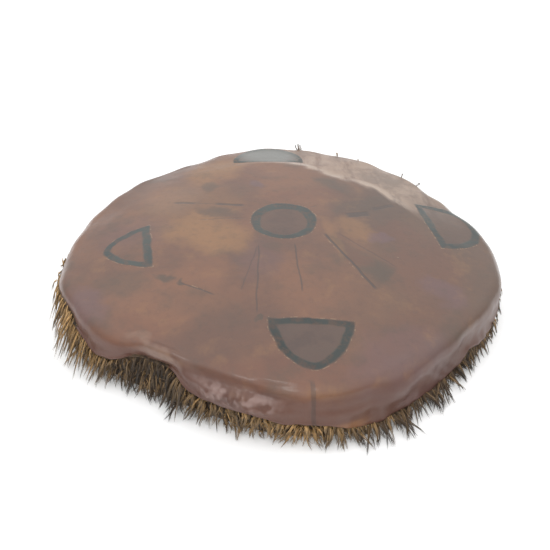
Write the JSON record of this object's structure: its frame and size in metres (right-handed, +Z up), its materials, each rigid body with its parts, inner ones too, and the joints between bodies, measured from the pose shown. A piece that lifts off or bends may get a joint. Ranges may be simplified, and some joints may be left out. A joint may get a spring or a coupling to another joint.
{
  "type": "frame drum",
  "caption": "Shallow hand drum: a domed, painted hide head with a hairy hem, drawn over a bent-wood hoop and laced across the back to a grip ring.",
  "frame": {"origin": "under the middle of the drum's outline, on the plane that the folded hem rests on", "axes": "+Z up through the head, +X to the right and +Y away from someone who looks at the drum from the front"},
  "size_m": [0.4922, 0.4896, 0.067],
  "materials": {
    "hide": "glossy, smoke-browned hide with a simple painted pattern",
    "hair": "coarse hair, golden brown at the root and dark at the tip",
    "wood": "bare split wood, dry and slightly aged",
    "peg": "whittled wood",
    "grip": "hand-worn hide",
    "thong": "dry rolled rawhide"
  },
  "bodies": {
    "root": {"head_hide": "hide", "hair_margin": "hair", "hoop": "wood", "treenail_1": "peg", "treenail_2": "peg", "treenail_3": "peg", "grip_ring": "grip", "lacing_thong_01": "thong", "lacing_thong_02": "thong", "lacing_thong_03": "thong", "lacing_thong_04": "thong", "lacing_thong_05": "thong", "lacing_thong_06": "thong", "lacing_thong_07": "thong", "lacing_thong_08": "thong", "lacing_thong_09": "thong", "lacing_thong_10": "thong", "lacing_thong_11": "thong", "lacing_thong_12": "thong", "lacing_thong_13": "thong", "lacing_thong_14": "thong", "lacing_thong_15": "thong", "lacing_thong_16": "thong"}
  },
  "joints": []
}
